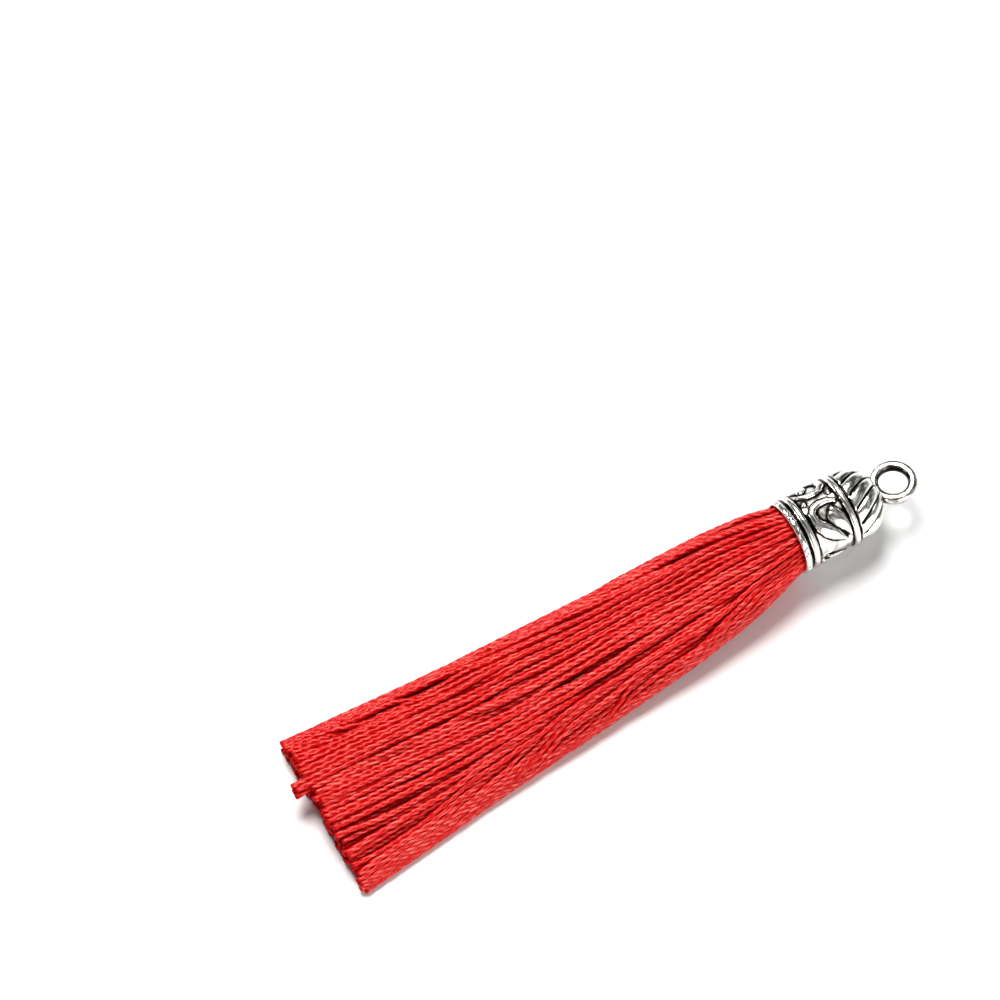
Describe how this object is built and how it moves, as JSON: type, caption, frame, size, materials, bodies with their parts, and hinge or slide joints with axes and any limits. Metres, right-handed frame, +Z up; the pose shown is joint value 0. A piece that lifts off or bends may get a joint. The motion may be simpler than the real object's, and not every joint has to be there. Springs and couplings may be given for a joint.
{
  "type": "silk tassel",
  "caption": "Thread tassel lying on its side: a round cast metal cap with a hanging loop, scrolls and a fluted dome, and a fanned skirt of twisted threads cut square.",
  "frame": {"origin": "bottom centre of the box round the whole tassel, on the surface it lies on", "axes": "+X along the tassel from the cut ends towards the hanging loop, +Z up from the surface, +Y to the left of +X"},
  "size_m": [0.0802, 0.0206, 0.0092],
  "materials": {
    "antique_silver": "antique silver plating, polished on the high points and blackened in the recesses",
    "red_silk": "lustrous two-ply twisted filament thread"
  },
  "bodies": {
    "root": {"cap": "antique_silver", "skirt": "red_silk"}
  },
  "joints": []
}
